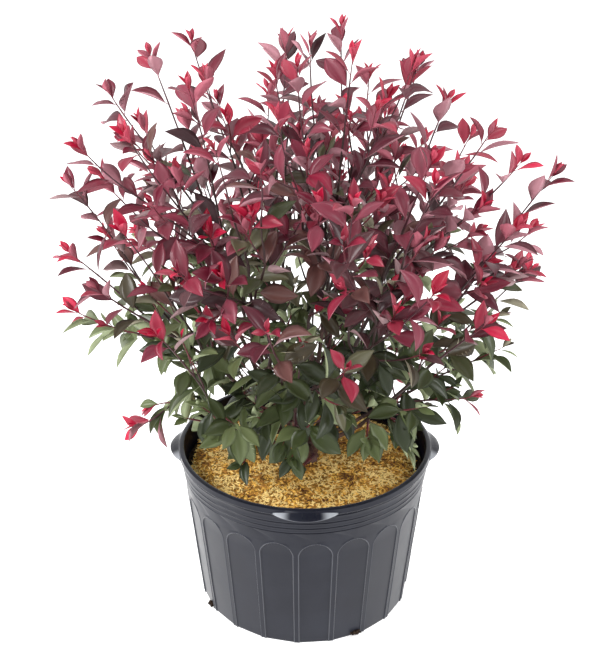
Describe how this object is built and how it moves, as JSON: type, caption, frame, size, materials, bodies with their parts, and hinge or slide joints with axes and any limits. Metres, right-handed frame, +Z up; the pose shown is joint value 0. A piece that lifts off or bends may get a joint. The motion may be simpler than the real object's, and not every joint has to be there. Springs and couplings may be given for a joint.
{
  "type": "potted purpleleaf sand cherry shrub",
  "caption": "Multi-stemmed purple-leaved sand cherry shrub with crimson shoot tips, standing in its ribbed black nursery pot topped with rice hulls.",
  "frame": {"origin": "middle of the pot's flat underside, on the surface that it stands on", "axes": "+Z up along the pot's axis, -Y towards the front, +X to the right seen from the front"},
  "size_m": [0.7815, 0.7209, 0.921],
  "materials": {
    "black_polyethylene": "satin",
    "potting_mix": "matte",
    "rice_hulls": "matte",
    "bark": "matte",
    "purple_leaf": "satin",
    "green_leaf": "satin"
  },
  "bodies": {
    "root": {"pot": "black_polyethylene", "potting_mix": "potting_mix", "rice_hull_mulch": "rice_hulls", "trunk": "bark", "bough_01": "bark", "bough_02": "bark", "bough_03": "bark", "bough_04": "bark", "bough_05": "bark", "bough_06": "bark", "bough_07": "bark", "bough_08": "bark", "bough_09": "bark", "bough_10": "bark", "bough_11": "bark", "bough_12": "bark", "bough_13": "bark", "bough_14": "bark", "bough_15": "bark", "bough_16": "bark", "bough_17": "bark", "bough_18": "bark", "bough_19": "bark", "bough_20": "bark", "bough_21": "bark", "bough_22": "bark", "bough_23": "bark", "bough_24": "bark", "foliage_01": "purple_leaf", "foliage_02": "purple_leaf", "foliage_03": "purple_leaf", "foliage_04": "purple_leaf", "foliage_05": "purple_leaf", "foliage_06": "purple_leaf", "foliage_07": "purple_leaf", "foliage_08": "purple_leaf", "foliage_09": "purple_leaf", "foliage_10": "purple_leaf", "foliage_11": "purple_leaf", "foliage_12": "purple_leaf", "foliage_13": "purple_leaf", "foliage_14": "purple_leaf", "foliage_15": "purple_leaf", "foliage_16": "purple_leaf", "foliage_17": "purple_leaf", "foliage_18": "purple_leaf", "foliage_19": "purple_leaf", "foliage_20": "green_leaf", "foliage_21": "green_leaf", "foliage_22": "green_leaf", "foliage_23": "green_leaf", "foliage_24": "green_leaf"}
  },
  "joints": []
}
